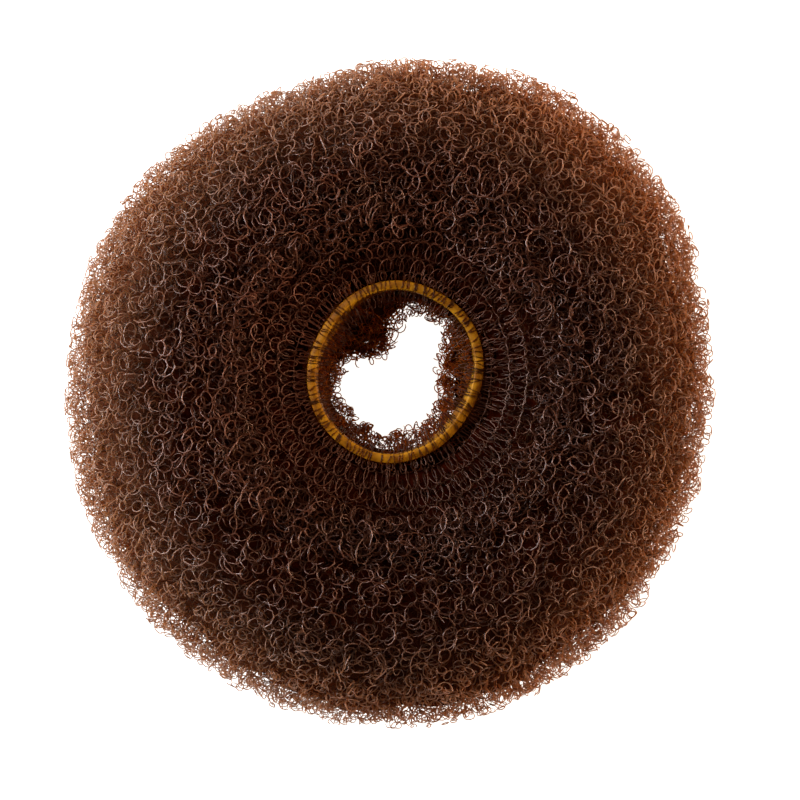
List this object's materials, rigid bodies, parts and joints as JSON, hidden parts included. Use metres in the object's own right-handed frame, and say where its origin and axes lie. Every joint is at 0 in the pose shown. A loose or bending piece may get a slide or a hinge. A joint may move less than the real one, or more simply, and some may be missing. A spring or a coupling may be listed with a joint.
{
  "type": "hair donut bun maker",
  "caption": "Round donut of rolled curly mesh with an elastic ring at the front of its hole, worn under hair to shape a bun.",
  "frame": {"origin": "middle of the donut's box, at the floor that its back rests on", "axes": "+Z up through the hole towards the side with the elastic ring, +X to the right and +Y up as the donut is seen from that side"},
  "size_m": [0.0877, 0.0906, 0.034],
  "materials": {
    "mesh": "curly knitted nylon filament, dark brown, slightly glossy",
    "elastic": "smooth translucent amber rubber strap"
  },
  "bodies": {
    "root": {"mesh_roll": "mesh", "elastic_ring": "elastic"}
  },
  "joints": []
}
